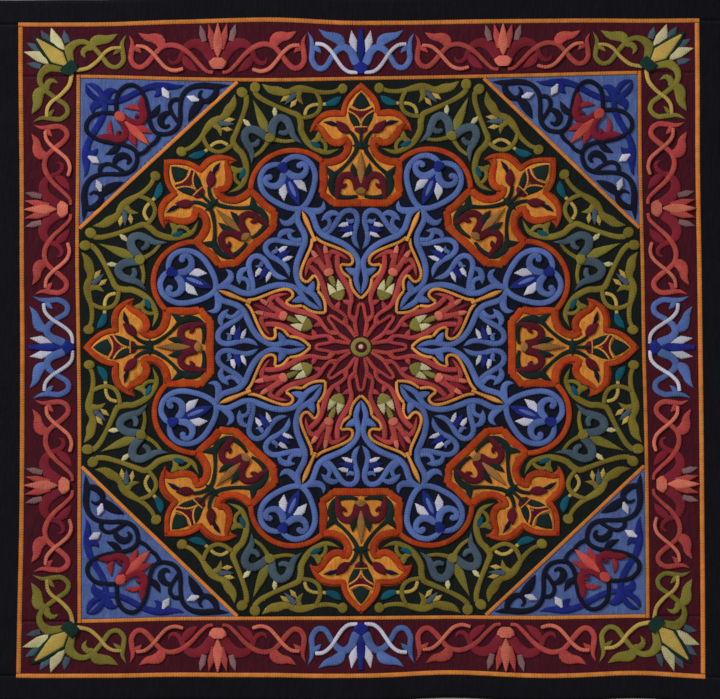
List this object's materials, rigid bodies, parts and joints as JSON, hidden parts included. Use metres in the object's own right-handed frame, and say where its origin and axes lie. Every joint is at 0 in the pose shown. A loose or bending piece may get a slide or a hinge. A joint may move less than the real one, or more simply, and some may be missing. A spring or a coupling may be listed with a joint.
{
  "type": "applique quilt",
  "caption": "Large square appliqued cotton quilt lying flat, with a lobed medallion and centre star on an eight-sided field, corner panels, a vine band, strips and a plain border.",
  "frame": {"origin": "middle of the underside, on the surface the quilt lies on", "axes": "+Z out of the quilt's face, +Y towards its top edge, +X to the right when the face is seen with its top edge up"},
  "size_m": [1.798, 1.8028, 0.0068],
  "materials": {
    "black_border": "matt plain-weave cotton, turned edges held by small hem stitches",
    "orange_strip": "matt plain-weave cotton, turned edges held by small hem stitches",
    "wine_band": "matt plain-weave cotton, turned edges held by small hem stitches",
    "dark_field": "matt plain-weave cotton, turned edges held by small hem stitches",
    "blue_corner": "matt plain-weave cotton, turned edges held by small hem stitches",
    "red_orange_medallion": "matt plain-weave cotton, turned edges held by small hem stitches",
    "wine_star": "matt plain-weave cotton, turned edges held by small hem stitches"
  },
  "bodies": {
    "root": {"border_top": "black_border", "border_bottom": "black_border", "border_left": "black_border", "border_right": "black_border", "outer_strip_top": "orange_strip", "outer_strip_bottom": "orange_strip", "outer_strip_left": "orange_strip", "outer_strip_right": "orange_strip", "band_top": "wine_band", "band_bottom": "wine_band", "band_left": "wine_band", "band_right": "wine_band", "inner_strip_top": "orange_strip", "inner_strip_bottom": "orange_strip", "inner_strip_left": "orange_strip", "inner_strip_right": "orange_strip", "field": "dark_field", "corner_panel_top_right": "blue_corner", "corner_panel_top_left": "blue_corner", "corner_panel_bottom_left": "blue_corner", "corner_panel_bottom_right": "blue_corner", "corner_strip_top_right": "orange_strip", "corner_strip_top_left": "orange_strip", "corner_strip_bottom_left": "orange_strip", "corner_strip_bottom_right": "orange_strip", "medallion": "red_orange_medallion", "centre_star": "wine_star"}
  },
  "joints": []
}
